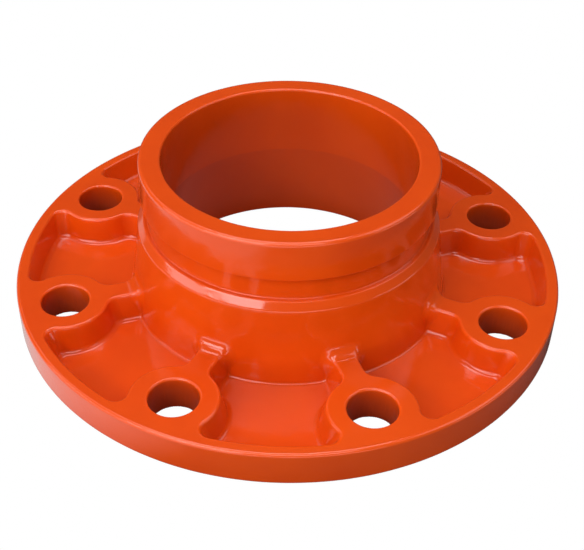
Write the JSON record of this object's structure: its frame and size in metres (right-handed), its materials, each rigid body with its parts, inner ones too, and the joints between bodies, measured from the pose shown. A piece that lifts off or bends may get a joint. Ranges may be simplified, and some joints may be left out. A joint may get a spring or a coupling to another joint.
{
  "type": "grooved flange adapter",
  "caption": "One-piece cast flange adapter: a drilled round flange with ribbed bolt bosses and pockets, and a hub rising to a grooved pipe end. Glossy orange-red paint.",
  "frame": {"origin": "centre of the flange's sealing face, on the pipe axis", "axes": "+Z along the pipe axis, from the flange face towards the grooved pipe end; the bolt holes straddle X and Y, the first at 22.5 degrees from +X"},
  "size_m": [0.215, 0.215, 0.0625],
  "materials": {
    "orange_paint": "glossy orange-red enamel over a ductile-iron casting"
  },
  "bodies": {
    "root": {"grooved_flange_adapter": "orange_paint"}
  },
  "joints": []
}
